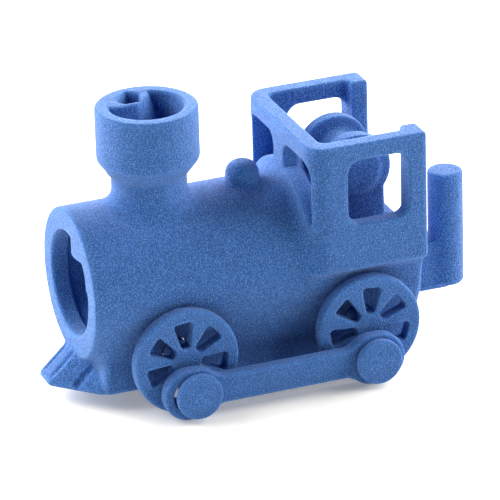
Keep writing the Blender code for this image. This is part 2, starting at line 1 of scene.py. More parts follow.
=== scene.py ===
"""The looks of the toy train locomotive: matt blue sintered nylon on a white floor.

The engine's body is one continuous print, so it is sculpted as one solid, with soft edges and
filled corners, and then divided along planes into one closed piece for each part of the CAD
frame. A solid is held as the distance from each point of a grid to its surface, negative
inside, in millimetres. Places and main sizes come from the CAD frame.
"""
import json
import math

import bmesh
import bpy
import numpy as np
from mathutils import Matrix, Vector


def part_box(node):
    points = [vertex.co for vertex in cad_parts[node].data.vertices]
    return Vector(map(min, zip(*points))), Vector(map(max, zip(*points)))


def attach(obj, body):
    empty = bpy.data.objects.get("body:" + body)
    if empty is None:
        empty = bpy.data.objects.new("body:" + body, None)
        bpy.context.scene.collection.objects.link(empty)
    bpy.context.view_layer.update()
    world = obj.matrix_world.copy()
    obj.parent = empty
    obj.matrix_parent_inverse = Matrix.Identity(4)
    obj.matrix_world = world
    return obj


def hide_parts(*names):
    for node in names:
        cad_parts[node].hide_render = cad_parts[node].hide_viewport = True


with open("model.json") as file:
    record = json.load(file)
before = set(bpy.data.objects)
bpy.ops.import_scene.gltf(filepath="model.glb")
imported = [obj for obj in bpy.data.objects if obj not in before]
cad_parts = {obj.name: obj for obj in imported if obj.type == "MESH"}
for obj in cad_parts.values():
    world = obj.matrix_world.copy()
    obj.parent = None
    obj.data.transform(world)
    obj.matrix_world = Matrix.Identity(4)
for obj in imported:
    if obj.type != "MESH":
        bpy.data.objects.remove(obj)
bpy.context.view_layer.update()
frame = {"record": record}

import openvdb
from mathutils import Matrix, Vector

MM = 0.001
FAR = 60.0                    # beyond the engine in any direction
EDGE_ATTRIBUTE = "bend"

BODY_STEP = 0.24              # grid spacing of the body
GEAR_STEP = 0.15              # grid spacing of the wheels, pins and rods
MARGIN = 1.2                  # empty grid round a solid

# Body details that the CAD frame doesn't hold
SOFT_EDGE = 0.3
BARREL_EDGE = 0.35
BARREL_BLEND = 2.0            # where the barrel runs into the chassis sides
BARREL_BORE_RADIUS = 8.4
BARREL_BORE_FLOOR_Z = 11.0
OPENING_RADIUS = 7.6
CHIMNEY_BLEND = 1.8
CHIMNEY_NECK_RADIUS = 5.4
CHIMNEY_NECK_TOP_Z = 31.8
CHIMNEY_COLLAR_Z = 34.4
CHIMNEY_BORE_RADIUS = 5.3
CHIMNEY_BORE_FLOOR_Z = 33.2
FLUE_RADIUS = 3.0
FLUE_TOP_Z = 31.2
PIPE_DROP = 0.1               # the pipe in the chimney ends this far under the rim
PIPE_HOLE_DEPTH = 4.0
PIPE_FLARE = 0.25             # how fast the pipe widens as it goes down
DOME_SHOULDER = 2.0
CAB_WALL = 2.6
CAB_FRONT_CORNER = 3.0
CAB_REAR_CORNER = 0.4
CAB_ROOM_CORNER = 1.0
CAB_BLEND = 1.8
DOORWAY_HALF_WIDTH = 8.6
WINDOW_CORNER = 2.0
WINDOW_EDGE = 0.25
WINDOW_TOP_Z = 33.5
SIDE_WINDOW_SILL_Z = 23.7
SIDE_WINDOW_FRONT_Y = 10.05
SIDE_WINDOW_REAR_Y = 19.35
FRONT_WINDOW_INNER_X = 1.95
FRONT_WINDOW_OUTER_X = 11.0
FRONT_WINDOW_SILL_RADIUS = 12.9
CAVITY_WALL = 2.4
CAVITY_TOP_Z = 9.6
CAVITY_END = 4.0
POCKET_WALL = 0.4             # left between the pocket behind the ring and the chassis cavity
AXLE_BORE_RADIUS = 2.0

# Plow
PLOW_NOSE_Y = -32.7
PLOW_SIDE_INSET = 0.9         # each side stands this far inside the CAD box
PLOW_NOSE_Z = 2.75
PLOW_RAMP = 1.075             # how far the ramp falls back for each millimetre it climbs
PLOW_HEEL = 1.3               # and its underside for each millimetre below the nose
PLOW_FLAT = 1.9               # half width of the ramp's flat middle
PLOW_SWEEP = 0.95             # how far the sides fall back for each millimetre outwards

# Where the body is cut into pieces
CROWN_CLEARANCE = 0.1         # the chimney and dome start this far over the boiler's crown
PLOW_CUT_DEPTH = 1.3          # the ring starts this far under the plow's top
FLOOR_CUT_RISE = 0.35         # the cab walls start this far over the floor

# Spool in the cab
SPOOL_HUB_RADIUS = 3.4
SPOOL_FLANGE_THICKNESS = 2.0
PEDESTAL_OVERLAP = 0.3        # the pedestal runs this far into the hub
PEDESTAL_SINK = 0.6           # and this far into the cab floor
PEDESTAL_SPREAD = 0.22
PEDESTAL_SPREAD_START = 0.75  # in flange radii below the spool's axis

# Running gear details
WHEEL_EDGE = 0.35
WHEEL_CUTOUTS = 7
ROD_HALF_HEIGHT = 2.1
ROD_BOSS_STRETCH = 0.6
ROD_SLOT_RADIUS = 2.55
ROD_SLOT_STRETCH = 0.4
PIN_RADIUS = 1.75
PIN_HEAD_THICKNESS = 1.15
PIN_ROOT = 0.8                # how far a pin runs into its wheel
AXLE_ROOT = 0.9               # and an axle into both its wheels

# Nylon
MOTTLE_SIZE = 1.6
GRAIN_SIZE = 0.18
GRAIN_DEPTH = 0.3
POWDER_SIZE = 0.12
POWDER_DEPTH = 0.08
SPARKLE = (0.2, 0.46, 0.95, 1.0)
SHEEN_TINT = (0.78, 0.86, 1.0, 1.0)


# ---- solids as distances -------------------------------------------------------------------

class Space:
    """A block of space in millimetres, sampled on an even grid."""

    def __init__(self, low, high, step):
        self.low = np.array(low, dtype=np.float64) - MARGIN
        self.step = step
        size = np.array(high, dtype=np.float64) + MARGIN - self.low
        axes = []
        for start, length in zip(self.low, size):
            count = int(math.ceil(length / step)) + 1
            axes.append((start + step * np.arange(count)).astype(np.float32))
        self.x = axes[0][:, None, None]
        self.y = axes[1][None, :, None]
        self.z = axes[2][None, None, :]

    def mesh(self, name, solid):
        """The surface of a solid as a mesh of even quads, in metres."""
        grid = openvdb.FloatGrid(background=MARGIN)
        grid.copyFromArray(np.ascontiguousarray(solid, dtype=np.float32))
        points, quads = grid.convertToQuads(isovalue=0.0)
        mesh = bpy.data.meshes.new(name)
        places = (points.astype(np.float64) * self.step + self.low) * MM
        mesh.from_pydata(places.tolist(), [], quads.tolist())
        shape = bmesh.new()
        shape.from_mesh(mesh)
        if shape.calc_volume(signed=True) < 0:
            bmesh.ops.reverse_faces(shape, faces=shape.faces)
        shape.to_mesh(mesh)
        shape.free()
        mesh.shade_smooth()
        self.note_edges(mesh, solid, points)
        return mesh

    def note_edges(self, mesh, solid, points):
        """Keep how sharply the surface bends at each point: above 0 on edges, below in corners; the
        material uses it to paint a highlight along edges.
        """
        bend = np.zeros_like(solid)
        for axis in range(3):
            bend += np.roll(solid, 1, axis) + np.roll(solid, -1, axis) - 2 * solid
        i, j, k = np.rint(points).astype(int).T
        attribute = mesh.attributes.new(EDGE_ATTRIBUTE, "FLOAT", "POINT")
        attribute.data.foreach_set("value", bend[i, j, k] / self.step ** 2)


def join(a, b, fillet=0.0):
    """Both solids together; a fillet fills the inner corner between them."""
    if not fillet:
        return np.minimum(a, b)
    dip = np.hypot(np.maximum(fillet - a, 0), np.maximum(fillet - b, 0))
    return np.maximum(fillet, np.minimum(a, b)) - dip


def meet(a, b, edge=0.0):
    """What two solids share, with the edge between their faces rounded."""
    return -join(-a, -b, edge)


def carve(a, b, edge=0.0):
    """The first solid without the second, with the cut's edge rounded."""
    return -join(-a, b, edge)


def between(w, low, high):
    """The slab between two places along one axis."""
    return np.abs(w - (low + high) / 2) - (high - low) / 2


def slab(flat, w, low, high, edge=0.0):
    """A flat outline given thickness along w, with rounded edges."""
    side = flat + edge
    end = between(w, low, high) + edge
    outside = np.hypot(np.maximum(side, 0), np.maximum(end, 0))
    return np.minimum(np.maximum(side, end), 0) + outside - edge


def rectangle(u, v, low, high, corner):
    """An upright rectangle between two corners, with round corners."""
    qu = between(u, low[0], high[0]) + corner
    qv = between(v, low[1], high[1]) + corner
    outside = np.hypot(np.maximum(qu, 0), np.maximum(qv, 0))
    return np.minimum(np.maximum(qu, qv), 0) + outside - corner


def stadium(u, v, half_run, radius):
    """A disc drawn out along u."""
    return np.hypot(np.maximum(np.abs(u) - half_run, 0), v) - radius


def polygon(u, v, points):
    """A flat outline through a few points."""
    shape = np.broadcast_shapes(np.shape(u), np.shape(v))
    nearest = np.full(shape, FAR * FAR, dtype=np.float32)
    inside = np.zeros(shape, dtype=bool)
    for (au, av), (bu, bv) in zip(points, points[1:] + points[:1]):
        du, dv = bu - au, bv - av
        along = np.clip(((u - au) * du + (v - av) * dv) / (du * du + dv * dv), 0, 1)
        nearest = np.minimum(nearest, (u - au - along * du) ** 2 + (v - av - along * dv) ** 2)
        if dv:
            crosses = ((v < av) != (v < bv)) & (u < au + du * (v - av) / dv)
            inside ^= crosses
    return np.where(inside, -1, 1) * np.sqrt(nearest)


def capsule(x, y, z, start, end, radius):
    """A round-ended rod between two points."""
    run = [b - a for a, b in zip(start, end)]
    length_squared = sum(r * r for r in run)
    px, py, pz = x - start[0], y - start[1], z - start[2]
    along = np.clip((px * run[0] + py * run[1] + pz * run[2]) / length_squared, 0, 1)
    square = (px - along * run[0]) ** 2 + (py - along * run[1]) ** 2 + (pz - along * run[2]) ** 2
    return np.sqrt(square) - radius


def wear(solid, passes):
    """Soften every edge a little, as sintering powder does."""
    for _ in range(passes):
        for axis in range(3):
            around = np.roll(solid, 1, axis) + np.roll(solid, -1, axis)
            solid = (solid * 2 + around) / 4
    return solid


def cad_box(node):
    """Lowest and highest corners of a CAD node, in millimetres."""
    low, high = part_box(node)
    return np.array(low) / MM, np.array(high) / MM


def cad_middle(node):
    low, high = cad_box(node)
    return (low + high) / 2


# ---- the body ------------------------------------------------------------------------------

def barrel_across(space):
    """Distance from the barrel's axis."""
    return np.hypot(space.x, space.z - cad_middle("smokebox_front")[2])


def sculpt_barrel(space):
    """The boiler, with the round firebox sides that carry on under the cab."""
    low, high = cad_box("smokebox_front")
    cab_low, cab_high = cad_box("cab_shell")
    floor_top = cad_box("cab_floor")[1][2]
    radius = (high[0] - low[0]) / 2
    round_flat = barrel_across(space) - radius
    boiler = slab(round_flat, space.y, low[1], cab_low[1] + CAB_WALL, BARREL_EDGE)
    firebox = slab(round_flat, space.y, cab_low[1], cab_high[1], SOFT_EDGE)
    return join(boiler, meet(firebox, space.z - floor_top))


def sculpt_chassis(space):
    low, high = cad_box("chassis_frame")
    flat = rectangle(space.x, space.y, (low[0], low[1]), (high[0], high[1]), 1.0)
    return slab(flat, space.z, low[2], high[2] + 1.0, SOFT_EDGE)


def sculpt_cab(space):
    low, high = cad_box("cab_shell")
    middle_y = (low[1] + high[1]) / 2
    corner = np.where(space.y < middle_y, CAB_FRONT_CORNER, CAB_REAR_CORNER)
    flat = rectangle(space.x, space.y, (low[0], low[1]), (high[0], high[1]), corner)
    return slab(flat, space.z, low[2], high[2], SOFT_EDGE)


def hollow_cab(space, body):
    """The room inside the cab, its doorway and its windows."""
    low, high = cad_box("cab_shell")
    floor_top = cad_box("cab_floor")[1][2]
    x, y, z = space.x, space.y, space.z
    room_flat = rectangle(x, y, (low[0] + CAB_WALL, low[1] + CAB_WALL),
                          (high[0] - CAB_WALL, high[1] - CAB_WALL), CAB_ROOM_CORNER)
    body = carve(body, slab(room_flat, z, floor_top, FAR), SOFT_EDGE)
    doorway = rectangle(x, y, (-DOORWAY_HALF_WIDTH, high[1] - CAB_WALL - 2.0),
                        (DOORWAY_HALF_WIDTH, high[1] + 2.0), 0.3)
    body = carve(body, slab(doorway, z, floor_top, FAR), SOFT_EDGE)
    side_flat = rectangle(y, z, (SIDE_WINDOW_FRONT_Y, SIDE_WINDOW_SILL_Z),
                          (SIDE_WINDOW_REAR_Y, WINDOW_TOP_Z), WINDOW_CORNER)
    body = carve(body, slab(side_flat, x, -FAR, FAR), WINDOW_EDGE)
    above_sill = FRONT_WINDOW_SILL_RADIUS - barrel_across(space)
    front_flat = rectangle(np.abs(x), z, (FRONT_WINDOW_INNER_X, floor_top),
                           (FRONT_WINDOW_OUTER_X, WINDOW_TOP_Z), WINDOW_CORNER)
    front_window = slab(meet(front_flat, above_sill, 0.2), y, low[1] - 1.5, low[1] + CAB_WALL + 1)
    return carve(body, front_window, WINDOW_EDGE)


def add_chimney(space, body):
    """Neck, deep rim and bore, with the small square-holed pipe on the bore's far side."""
    low, high = cad_box("chimney")
    middle = (low + high) / 2
    rim, top = (high[0] - low[0]) / 2, high[2]
    x, y, z = space.x - middle[0], space.y - middle[1], space.z
    r = np.hypot(x, y)
    outer = [(-FAR, top), (rim, top), (rim, CHIMNEY_COLLAR_Z),
             (CHIMNEY_NECK_RADIUS, CHIMNEY_NECK_TOP_Z), (CHIMNEY_NECK_RADIUS, low[2]),
             (-FAR, low[2])]
    stack = polygon(r, z, [(u - (SOFT_EDGE if u > 0 else 0), v) for u, v in outer])
    stack = meet(stack - SOFT_EDGE, z - top, SOFT_EDGE)
    body = join(body, stack, CHIMNEY_BLEND)
    flue_floor = cad_middle("smokebox_front")[2]
    bore = [(-FAR, FAR), (CHIMNEY_BORE_RADIUS, FAR), (CHIMNEY_BORE_RADIUS, CHIMNEY_BORE_FLOOR_Z),
            (FLUE_RADIUS, FLUE_TOP_Z), (FLUE_RADIUS, flue_floor), (-FAR, flue_floor)]
    body = carve(body, polygon(r, z, bore), 0.3)
    outline = [(-2.0, -5.4), (-1.1, -4.3), (-0.95, -2.8), (-1.1, -1.0), (-2.2, 0.3), (-4.2, 1.9),
               (-5.6, 1.9), (-6.4, -0.4), (-5.0, -4.4)]
    pipe_top = top - PIPE_DROP
    flat = polygon(x, y, outline) - PIPE_FLARE * np.maximum(pipe_top - z, 0)
    pipe = slab(flat, z, CHIMNEY_BORE_FLOOR_Z - 1.0, pipe_top, 0.25)
    pipe = meet(pipe, r - (CHIMNEY_BORE_RADIUS + 0.8))
    body = join(body, pipe, 0.1)
    hole = [(-3.3, -3.2), (-1.9, -2.4), (-2.1, -0.1), (-4.5, 0.6), (-5.8, -0.9)]
    return carve(body, slab(polygon(x, y, hole), z, top - PIPE_HOLE_DEPTH, FAR), 0.25)


def add_dome(space, body):
    low, high = cad_box("steam_dome")
    middle = (low + high) / 2
    r = np.hypot(space.x - middle[0], space.y - middle[1])
    dome = slab(r - (high[0] - low[0]) / 2, space.z, low[2] - 3.0, high[2], DOME_SHOULDER)
    return join(body, dome, 0.6)


def bore_barrel(space, body):
    """The smokebox opening, and the wider bore behind it with its flat floor."""
    low, high = cad_box("smokebox_front")
    across = barrel_across(space)
    opening = slab(across - OPENING_RADIUS, space.y, low[1] - 2.0, high[1] + 1.0)
    body = carve(body, opening, SOFT_EDGE)
    pocket_rear = cad_box("chassis_frame")[0][1] + CAVITY_END - POCKET_WALL
    body = carve(body, slab(across - BARREL_BORE_RADIUS, space.y, high[1], pocket_rear, 0.2))
    rear = cad_box("boiler_shell")[1][1]
    flat = meet(across - BARREL_BORE_RADIUS, BARREL_BORE_FLOOR_Z - space.z, 0.4)
    return carve(body, slab(flat, space.y, high[1], rear, 0.4))


def add_bracket(space, body):
    """The stepped plate in the upper left of the smokebox opening."""
    low, high = cad_box("smokebox_bracket")
    u = space.x
    v = space.z - cad_middle("smokebox_front")[2]
    outline = [(0.1, 8.6), (0.15, 4.5), (1.0, 4.2), (3.4, 4.5), (5.1, 5.0), (5.6, 3.2),
               (5.8, 1.7), (6.1, 0.8), (8.6, 0.4), (8.6, 8.6)]
    flat = meet(polygon(u, v, outline) - 0.1, np.hypot(u, v) - (OPENING_RADIUS + 1.0))
    return join(body, slab(flat, space.y, low[1], high[1], 0.3), 0.2)


def add_plow(space, body):
    """A pointed plow: slats run up a ramp to the smokebox, and its sides sweep back."""
    low, high = cad_box("cowcatcher")
    x, y, z = np.abs(space.x), space.y, space.z
    edge_y = PLOW_NOSE_Y + PLOW_SWEEP * np.maximum(x - PLOW_FLAT, 0)
    ramp = (edge_y + PLOW_RAMP * (z - PLOW_NOSE_Z) - y) / math.hypot(1.0, PLOW_RAMP, PLOW_SWEEP)
    heel = (edge_y + PLOW_HEEL * (PLOW_NOSE_Z - z) - y) / math.hypot(1.0, PLOW_HEEL, PLOW_SWEEP)
    plow = meet(ramp, heel, 0.9)
    plow = meet(plow, slab(x - (high[0] - PLOW_SIDE_INSET), z, low[2] + 0.2, high[2], 0.4), 0.4)
    plow = meet(plow, y - cad_box("smokebox_front")[1][1])
    grooves = (((1.44, -27.9, 7.1), (1.44, -31.4, 3.9), 0.35),
               ((4.9, -25.4, 7.0), (4.9, -28.9, 3.5), 0.5),
               ((7.2, -25.6, 6.4), (7.2, -27.0, 4.2), 0.25))
    for start, end, radius in grooves:
        plow = carve(plow, capsule(x, y, z, start, end, radius), 0.1)
    return join(body, plow, 0.4)


def add_coupling(space, body):
    """The web behind the chassis and the upright post at its end."""
    low, high = cad_box("rear_coupling_arm")
    post_low, post_high = cad_box("rear_coupling_post")
    middle = (post_low + post_high) / 2
    flat = rectangle(space.y, space.z, (low[1] - 2.0, low[2]), (middle[1], high[2]), 0.5)
    web = slab(flat, space.x, low[0], high[0], 0.4)
    r = np.hypot(space.x - middle[0], space.y - middle[1])
    post = slab(r - (post_high[0] - post_low[0]) / 2, space.z, post_low[2], post_high[2], 0.4)
    return join(body, join(web, post, 0.6), 0.6)


def hollow_chassis(space, body):
    """The open underside and the two axle bores."""
    low, high = cad_box("chassis_frame")
    flat = rectangle(space.x, space.y, (low[0] + CAVITY_WALL, low[1] + CAVITY_END),
                     (high[0] - CAVITY_WALL, high[1] - CAVITY_END), 1.0)
    body = carve(body, slab(flat, space.z, -FAR, CAVITY_TOP_Z), 0.3)
    for end in ("front", "rear"):
        axle = cad_middle(end + "_axle")
        flat = np.hypot(space.y - axle[1], space.z - axle[2]) - AXLE_BORE_RADIUS
        body = carve(body, slab(flat, space.x, low[0] - 1.0, high[0] + 1.0), 0.3)
    return body


def sculpt_body():
    """The whole body as one mesh."""
    low = np.min([cad_box(node)[0] for node in frame["record"]["behaviour"]["bodies"]["root"]], 0)
    high = np.max([cad_box(node)[1] for node in frame["record"]["behaviour"]["bodies"]["root"]], 0)
    space = Space(low, high, BODY_STEP)
    body = join(sculpt_barrel(space), sculpt_chassis(space), BARREL_BLEND)
    body = join(body, sculpt_cab(space), CAB_BLEND)
    body = hollow_cab(space, body)
    body = add_dome(space, body)
    body = add_plow(space, body)
    body = add_coupling(space, body)
    body = bore_barrel(space, body)
    body = hollow_chassis(space, body)
    body = add_chimney(space, body)
    body = add_bracket(space, body)
    return space.mesh("body", wear(body, 1))


# ---- dividing the body into its pieces -----------------------------------------------------

def divide(mesh, axis, place_mm):
    """Cut a closed mesh with an upright or level plane into two closed meshes: low and high."""
    normal = Vector((0.0, 0.0, 0.0))
    normal[axis] = 1.0
    halves = []
    for keep_high in (False, True):
        shape = bmesh.new()
        shape.from_mesh(mesh)
        everything = shape.verts[:] + shape.edges[:] + shape.faces[:]
        cut = bmesh.ops.bisect_plane(shape, geom=everything, plane_co=normal * place_mm * MM,
                                     plane_no=normal, dist=1e-8, clear_inner=keep_high,
                                     clear_outer=not keep_high)
        rim = [item for item in cut["geom_cut"] if isinstance(item, bmesh.types.BMEdge)]
        outward = -normal if keep_high else normal
        cap = bmesh.ops.triangle_fill(shape, use_beauty=False, edges=rim, normal=outward)
        for item in cap["geom"]:
            if isinstance(item, bmesh.types.BMFace):
                item.smooth = False
                if item.normal.dot(outward) < 0:
                    item.normal_flip()
        for edge in rim:
            edge.smooth = False
        half = bpy.data.meshes.new(mesh.name)
        shape.to_mesh(half)
        shape.free()
        halves.append(half)
    bpy.data.meshes.remove(mesh)
    return halves


def middle_of_gap(lower_node, upper_node, axis):
    """Halfway between two neighbouring CAD nodes along an axis."""
    return (cad_box(lower_node)[1][axis] + cad_box(upper_node)[0][axis]) / 2


def divide_body(body):
    """One mesh for each piece, cut where the CAD nodes meet."""
    along, up = 1, 2
    crown_z = cad_box("smokebox_front")[1][2] + CROWN_CLEARANCE
    front, rest = divide(body, along, middle_of_gap("smokebox_front", "boiler_shell", along))
    plow, ring = divide(front, up, cad_box("cowcatcher")[1][2] - PLOW_CUT_DEPTH)
    rest, coupling = divide(rest, along, middle_of_gap("chassis_frame", "rear_coupling_arm", along))
    web, post = divide(coupling, along,
                       middle_of_gap("rear_coupling_arm", "rear_coupling_post", along))
    chassis, upper = divide(rest, up, middle_of_gap("chassis_frame", "boiler_shell", up))
    boiler, cab_end = divide(upper, along, middle_of_gap("boiler_shell", "cab_shell", along))
    boiler, fittings = divide(boiler, up, crown_z)
    chimney, dome = divide(fittings, along, middle_of_gap("chimney", "steam_dome", along))
    firebox, cab = divide(cab_end, up, middle_of_gap("firebox_base", "cab_shell", up))
    floor, walls = divide(cab, up, cad_box("cab_floor")[1][2] + FLOOR_CUT_RISE)
    return {
        "smokebox_ring": (ring, ("smokebox_front", "smokebox_bracket")),
        "plow": (plow, ("cowcatcher",)),
        "coupling_web": (web, ("rear_coupling_arm",)),
        "coupling_post": (post, ("rear_coupling_post",)),
        "chassis": (chassis, ("chassis_frame",)),
        "boiler": (boiler, ("boiler_shell",)),
        "chimney_stack": (chimney, ("chimney", "chimney_pipe")),
        "dome": (dome, ("steam_dome",)),
        "firebox": (firebox, ("firebox_base",)),
        "cab_base": (floor, ("cab_floor",)),
        "cab_walls": (walls, ("cab_shell",)),
    }


# ---- pieces inside the cab -----------------------------------------------------------------

def sculpt_spool():
    """The flanged spool across the cab."""
    low, high = cad_box("cab_spool")
    middle = (low + high) / 2
    space = Space(low, high, GEAR_STEP)
    r = np.hypot(space.y - middle[1], space.z - middle[2])
    flange = (high[2] - low[2]) / 2
    spool = slab(r - SPOOL_HUB_RADIUS, space.x, low[0], high[0])
    for inner, outer in ((low[0], low[0] + SPOOL_FLANGE_THICKNESS),
                         (high[0] - SPOOL_FLANGE_THICKNESS, high[0])):
        spool = join(spool, slab(r - flange, space.x, inner, outer, 0.25), 0.8)
    return space.mesh("spool", wear(spool, 1))


def sculpt_pedestal():
    """The block under the spool, grown onto its hub and spread a little at its foot."""
    low, high = cad_box("cab_pedestal")
    spool = cad_middle("cab_spool")
    flange = (cad_box("cab_spool")[1][2] - cad_box("cab_spool")[0][2]) / 2
    foot = low[2] - PEDESTAL_SINK
    room = 1.0
    space = Space((low[0] - room, low[1] - room, foot), (high[0] + room, high[1] + room, spool[2]),
                  GEAR_STEP)
    x, y, z = space.x, space.y, space.z
    depth = (spool[2] - z) / flange
    spread = PEDESTAL_SPREAD * np.clip(depth - PEDESTAL_SPREAD_START, 0, None) ** 2
    half = (high[1] - low[1]) / 2
    flat = rectangle(x, y, (low[0], spool[1] - half), (high[0], spool[1] + half), 0.4)
    block = slab(flat - spread, z, foot, spool[2], 0.2)
    saddle = np.hypot(y - spool[1], z - spool[2]) - (SPOOL_HUB_RADIUS - PEDESTAL_OVERLAP)
    return space.mesh("pedestal", wear(carve(block, saddle), 1))


# ---- running gear --------------------------------------------------------------------------

def crank_angle(end, side):
    """The way a wheel's crank pin points at rest."""
    wheel = cad_middle(end + "_" + side + "_wheel")
    pin = cad_middle(end + "_" + side + "_crank_pin")
    return math.atan2(pin[2] - wheel[2], pin[1] - wheel[1])


def sculpt_wheel(end, side):
    """A disc wheel with wedge windows, one spoke pointing at the crank pin."""
    node = end + "_" + side + "_wheel"
    low, high = cad_box(node)
    middle = (low + high) / 2
    space = Space(low, high, GEAR_STEP)
    y, z = space.y - middle[1], space.z - middle[2]
    radius = (high[2] - low[2]) / 2
    wheel = slab(np.hypot(y, z) - radius, space.x, low[0], high[0], WHEEL_EDGE)
    wedge = [(2.6, -0.25), (5.55, -0.93), (5.55, 0.93), (2.6, 0.25)]
    wedge_round = 0.45
    crank = crank_angle(end, side)
    for index in range(WHEEL_CUTOUTS):
        angle = crank + math.tau * (index + 0.5) / WHEEL_CUTOUTS
        u = y * math.cos(angle) + z * math.sin(angle)
        v = z * math.cos(angle) - y * math.sin(angle)
        flat = polygon(u, v, wedge) - wedge_round
        wheel = carve(wheel, slab(flat, space.x, low[0] - 1, high[0] + 1), 0.18)
    return space.mesh(node, wear(wheel, 1))


def sculpt_crank_pin(end, side):
    """A pin rooted in its wheel, with a round head outside the rod."""
    low, high = cad_box(end + "_" + side + "_crank_pin")
    middle = (low + high) / 2
    outward = 1 if side == "left" else -1
    start, tip = sorted((abs(low[0]), abs(high[0])))
    reach = sorted((outward * (start - PIN_ROOT), outward * tip))
    head_reach = sorted((outward * (tip - PIN_HEAD_THICKNESS), outward * tip))
    space = Space((reach[0], low[1], low[2]), (reach[1], high[1], high[2]), GEAR_STEP)
    r = np.hypot(space.y - middle[1], space.z - middle[2])
    pin = slab(r - PIN_RADIUS, space.x, reach[0], reach[1])
    head = slab(r - (high[2] - low[2]) / 2, space.x, head_reach[0], head_reach[1], 0.25)
    return space.mesh("pin", wear(join(pin, head, 0.2), 1))


def sculpt_axle(end):
    """An axle rooted in both its wheels."""
    low, high = cad_box(end + "_axle")
    middle = (low + high) / 2
    start, end_x = low[0] - AXLE_ROOT, high[0] + AXLE_ROOT
    space = Space((start, low[1], low[2]), (end_x, high[1], high[2]), GEAR_STEP)
    r = np.hypot(space.y - middle[1], space.z - middle[2])
    axle = slab(r - (high[2] - low[2]) / 2, space.x, start, end_x)
    return space.mesh("axle", wear(axle, 1))


def sculpt_rod(side):
    """A coupling rod: a bar between two bosses, with a slot for a pin in each."""
    low, high = cad_box(side + "_coupling_rod")
    middle = (low + high) / 2
    space = Space(low, high, GEAR_STEP)
    y, z = space.y - middle[1], space.z - middle[2]
    boss = (high[2] - low[2]) / 2
    centre = (high[1] - low[1]) / 2 - boss - ROD_BOSS_STRETCH
    flat = rectangle(y, z, (-centre, -ROD_HALF_HEIGHT), (centre, ROD_HALF_HEIGHT), 0.1)
    flat = join(flat, stadium(np.abs(y) - centre, z, ROD_BOSS_STRETCH, boss), 0.9)
    slot = stadium(np.abs(y) - centre, z, ROD_SLOT_STRETCH, ROD_SLOT_RADIUS)
    rod = slab(flat, space.x, low[0], high[0], 0.3)
    rod = carve(rod, slab(slot, space.x, low[0] - 1, high[0] + 1), 0.2)
    return space.mesh("rod", wear(rod, 1))


# ---- material ------------------------------------------------------------------------------

def nylon(name, deep, plain, pale):
    """Dyed sintered nylon: mottled blue, sparkling with powder grains, with a painted highlight
    that makes it paler along its edges.
    """
    material = bpy.data.materials.new(name)
    material.use_nodes = True
    nodes, links = material.node_tree.nodes, material.node_tree.links
    shader = nodes["Principled BSDF"]
    place = nodes.new("ShaderNodeTexCoord")

    def noise(size_mm, detail, roughness):
        texture = nodes.new("ShaderNodeTexNoise")
        texture.inputs["Scale"].default_value = 1.0 / (size_mm * MM)
        texture.inputs["Detail"].default_value = detail
        texture.inputs["Roughness"].default_value = roughness
        links.new(place.outputs["Object"], texture.inputs["Vector"])
        return texture.outputs["Fac"]

    def ramp(source, *stops):
        node = nodes.new("ShaderNodeValToRGB")
        stop = node.color_ramp.elements
        for index, (position, value) in enumerate(stops):
            element = stop[index] if index < 2 else stop.new(position)
            element.position = position
            element.color = (value, value, value, 1.0)
        links.new(source, node.inputs["Fac"])
        return node.outputs["Color"]

    def blend(amount, first, second):
        node = nodes.new("ShaderNodeMix")
        node.data_type = "RGBA"
        links.new(amount, node.inputs["Factor"])
        for socket, colour in ((node.inputs[6], first), (node.inputs[7], second)):
            if isinstance(colour, tuple):
                socket.default_value = colour
            else:
                links.new(colour, socket)
        return node.outputs[2]

    mottle = ramp(noise(MOTTLE_SIZE, 3.0, 0.6), (0.35, 0.0), (0.7, 1.0))
    grain = noise(GRAIN_SIZE, 1.0, 0.5)
    powder = noise(POWDER_SIZE, 0.0, 0.5)
    colour = blend(mottle, deep, plain)
    colour = blend(ramp(grain, (0.46, 0.0), (0.72, 1.0)), colour, pale)
    bend = nodes.new("ShaderNodeAttribute")
    bend.attribute_name = EDGE_ATTRIBUTE
    # painted highlight: the surface's convex edges are blended towards the pale blue
    colour = blend(ramp(bend.outputs["Fac"], (0.4, 0.0), (1.4, 0.25)), colour, pale)
    colour = blend(ramp(powder, (0.64, 0.0), (0.78, 0.8)), colour, SPARKLE)
    links.new(colour, shader.inputs["Base Color"])
    links.new(ramp(grain, (0.3, 0.95), (0.7, 0.72)), shader.inputs["Roughness"])
    shader.inputs["Specular IOR Level"].default_value = 0.4
    shader.inputs["Sheen Weight"].default_value = 0.26
    shader.inputs["Sheen Roughness"].default_value = 0.5
    shader.inputs["Sheen Tint"].default_value = SHEEN_TINT

    coarse = nodes.new("ShaderNodeBump")
    coarse.inputs["Strength"].default_value = 1.0
    coarse.inputs["Distance"].default_value = GRAIN_DEPTH * MM
    links.new(grain, coarse.inputs["Height"])
    fine = nodes.new("ShaderNodeBump")
    fine.inputs["Strength"].default_value = 0.8
    fine.inputs["Distance"].default_value = POWDER_DEPTH * MM
    links.new(powder, fine.inputs["Height"])
    links.new(coarse.outputs["Normal"], fine.inputs["Normal"])
    links.new(fine.outputs["Normal"], shader.inputs["Normal"])
    return material


def add_piece(name, mesh, material, body, nodes):
    """File a mesh as a piece that rides on a body and stands for CAD nodes."""
    mesh.name = name
    mesh.materials.clear()
    mesh.materials.append(material)
    piece = bpy.data.objects.new(name, mesh)
    bpy.context.scene.collection.objects.link(piece)
    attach(piece, body)
    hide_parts(*nodes)


